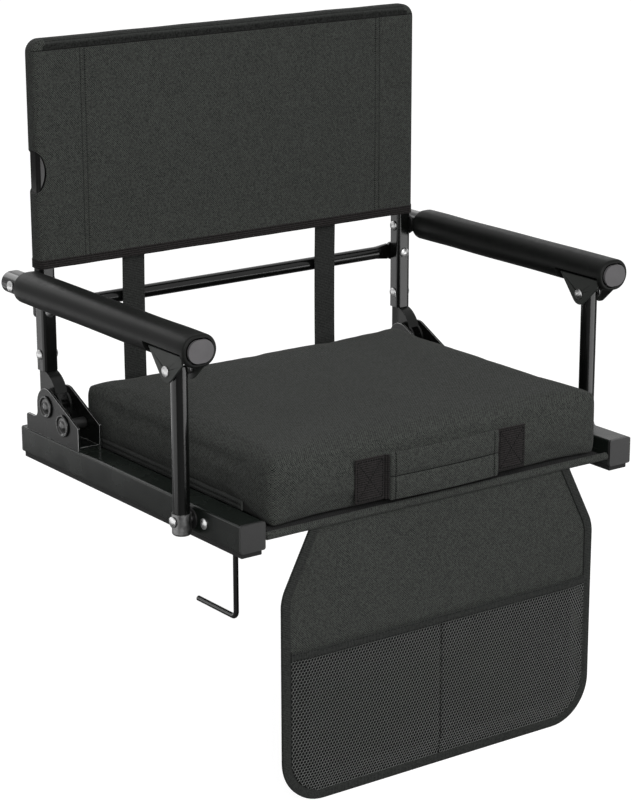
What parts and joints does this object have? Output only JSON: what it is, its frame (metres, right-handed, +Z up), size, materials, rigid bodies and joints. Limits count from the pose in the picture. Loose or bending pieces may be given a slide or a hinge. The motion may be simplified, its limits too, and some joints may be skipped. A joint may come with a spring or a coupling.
{
  "type": "bleacher seat",
  "caption": "Folding stadium seat with a padded cushion, sleeved tube back, linked foam armrests, hinged rails, bench hooks, a carry handle and a hanging mesh-pocket flap.",
  "frame": {"origin": "on the bench plane under the rubber feet, midway between the rails and midway along them", "axes": "+Z up, -Y towards the front of the seat, +X to the right seen from the front"},
  "size_m": [0.4922, 0.3758, 0.6375],
  "materials": {
    "rail_paint": "semi-gloss black paint",
    "frame_paint": "gloss black paint",
    "bracket_paint": "semi-gloss black paint",
    "rivet_paint": "gloss black paint",
    "yoke_paint": "satin black paint",
    "hook_paint": "black coated wire",
    "foot_cap_metal": "satin",
    "screw_steel": "bright zinc plating",
    "cap_plastic": "fine-grained black moulding",
    "black_plastic": "satin black moulding",
    "plug_plastic": "matte grey moulding",
    "foot_rubber": "matte",
    "foam": "closed-cell foam, matte",
    "fabric": "charcoal plain-weave polyester",
    "lining_fabric": "black plain weave",
    "trim_fabric": "dark woven binding tape",
    "handle_webbing": "black ribbed webbing",
    "webbing": "black ribbed webbing",
    "mesh": "grey-black knitted net"
  },
  "bodies": {
    "base": {"left_rail": "rail_paint", "right_rail": "rail_paint", "front_cross_tube": "rail_paint", "rear_cross_tube": "rail_paint", "front_end_caps": "cap_plastic", "rear_end_caps": "cap_plastic", "left_foot_strip": "foot_rubber", "right_foot_strip": "foot_rubber", "seat_deck": "lining_fabric", "front_roll": "trim_fabric", "side_hems": "trim_fabric", "seat_cushion": "fabric", "carry_handle": "fabric", "handle_tabs": "handle_webbing", "left_hinge_bracket": "bracket_paint", "right_hinge_bracket": "bracket_paint", "hinge_rivets": "rivet_paint", "stop_rivets": "rivet_paint", "hinge_spacers": "black_plastic", "post_washers": "black_plastic", "hook_sockets": "black_plastic", "post_pivot_bolts": "screw_steel", "hook_socket_screws": "screw_steel"},
    "back": {"left_upright": "frame_paint", "right_upright": "frame_paint", "top_tube": "frame_paint", "corner_elbows": "black_plastic", "left_tongue": "bracket_paint", "right_tongue": "bracket_paint", "crossbar": "frame_paint", "crossbar_screws": "screw_steel", "tongue_bolts": "screw_steel", "back_sleeve": "fabric", "sleeve_bindings": "trim_fabric", "left_back_strap": "webbing", "right_back_strap": "webbing", "armrest_pivot_bolts": "screw_steel", "armrest_spacers": "black_plastic"},
    "left_arm": {"left_armrest_tube": "frame_paint", "left_armrest_foam": "foam", "left_armrest_plug": "plug_plastic", "left_yoke": "yoke_paint", "left_yoke_pin": "screw_steel"},
    "right_arm": {"right_armrest_tube": "frame_paint", "right_armrest_foam": "foam", "right_armrest_plug": "plug_plastic", "right_yoke": "yoke_paint", "right_yoke_pin": "screw_steel"},
    "left_leg": {"left_post": "frame_paint", "left_post_cap": "foot_cap_metal"},
    "right_leg": {"right_post": "frame_paint", "right_post_cap": "foot_cap_metal"},
    "flap": {"flap_panel": "fabric", "flap_binding": "trim_fabric", "pocket_mesh": "mesh", "pocket_gussets": "trim_fabric", "pocket_band": "trim_fabric"},
    "left_hook_wire": {"left_hook": "hook_paint"},
    "right_hook_wire": {"right_hook": "hook_paint"}
  },
  "joints": [
    {"name": "back_fold", "type": "hinge", "parent": "base", "child": "back", "pos_m": [0, 0.135, 0.0595], "axis": [1, 0, 0], "range_deg": [0, 75], "deforming": ["left_back_strap", "right_back_strap"]},
    {"name": "left_arm_pivot", "type": "hinge", "parent": "back", "child": "left_arm", "pos_m": [-0.2296, 0.152, 0.174], "axis": [1, 0, 0], "range_deg": [-72.5, 0]},
    {"name": "left_leg_pivot", "type": "hinge", "parent": "base", "child": "left_leg", "pos_m": [-0.2296, -0.109, 0.0175], "axis": [1, 0, 0], "range_deg": [0, 66.5]},
    {"name": "left_hook_swivel", "type": "hinge", "parent": "base", "child": "left_hook_wire", "pos_m": [-0.1815, -0.1193, 0], "axis": [0, 0, 1], "range_deg": [-90, 90]},
    {"name": "right_arm_pivot", "type": "hinge", "parent": "back", "child": "right_arm", "pos_m": [0.2296, 0.152, 0.174], "axis": [1, 0, 0], "range_deg": [-72.5, 0]},
    {"name": "right_leg_pivot", "type": "hinge", "parent": "base", "child": "right_leg", "pos_m": [0.2296, -0.109, 0.0175], "axis": [1, 0, 0], "range_deg": [0, 66.5]},
    {"name": "right_hook_swivel", "type": "hinge", "parent": "base", "child": "right_hook_wire", "pos_m": [0.1815, -0.1193, 0], "axis": [0, 0, 1], "range_deg": [-90, 90]},
    {"name": "flap_swing", "type": "hinge", "parent": "base", "child": "flap", "pos_m": [0, -0.1805, 0.008], "axis": [-1, 0, 0], "range_deg": [-15, 90]}
  ],
  "couplings": [
    {"joint": "left_arm_pivot", "follows": "back_fold", "ratio": -0.962},
    {"joint": "left_leg_pivot", "follows": "back_fold", "ratio": 0.88},
    {"joint": "right_arm_pivot", "follows": "back_fold", "ratio": -0.962},
    {"joint": "right_leg_pivot", "follows": "back_fold", "ratio": 0.88}
  ]
}
